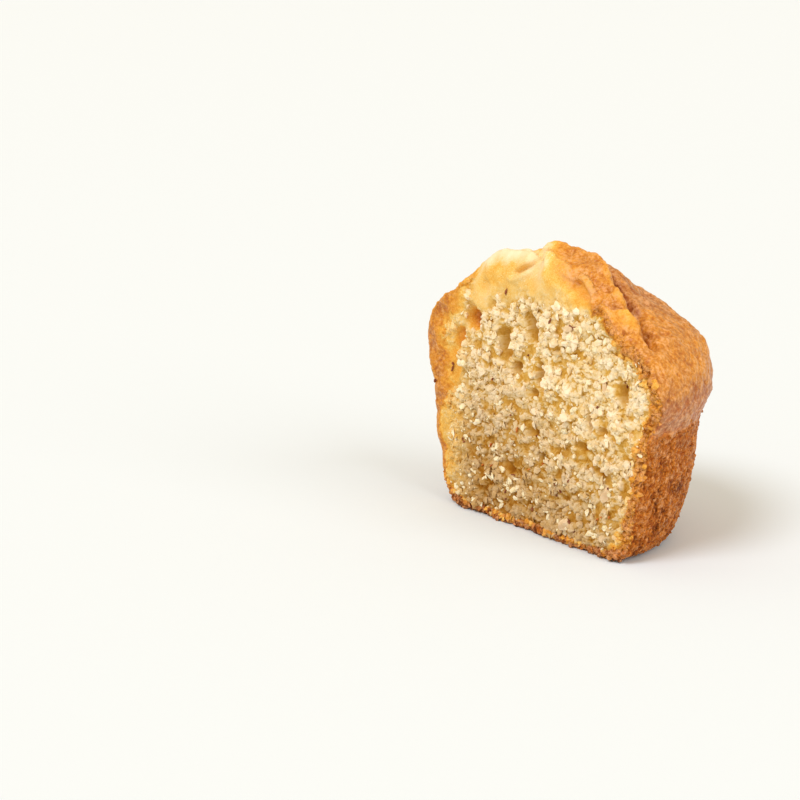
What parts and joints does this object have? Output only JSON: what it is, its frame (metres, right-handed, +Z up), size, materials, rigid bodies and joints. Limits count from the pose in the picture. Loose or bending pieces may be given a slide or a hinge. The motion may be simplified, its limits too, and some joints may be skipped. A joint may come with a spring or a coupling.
{
  "type": "almond cake",
  "caption": "Half of a muffin-shaped almond cake, cut from top to bottom, with a browned crust, a cracked dome and a coarse crumb with bits of almond.",
  "frame": {"origin": "centre of the bounding box at the level of the flat base, on which the cake stands", "axes": "+Z up through the domed top, -Y the way the cut face looks, X along the cut face"},
  "size_m": [0.0722, 0.0378, 0.0591],
  "materials": {
    "cake": "matte baked crumb under a browned, slightly glossy crust"
  },
  "bodies": {
    "root": {"almond_cake_half": "cake"}
  },
  "joints": []
}
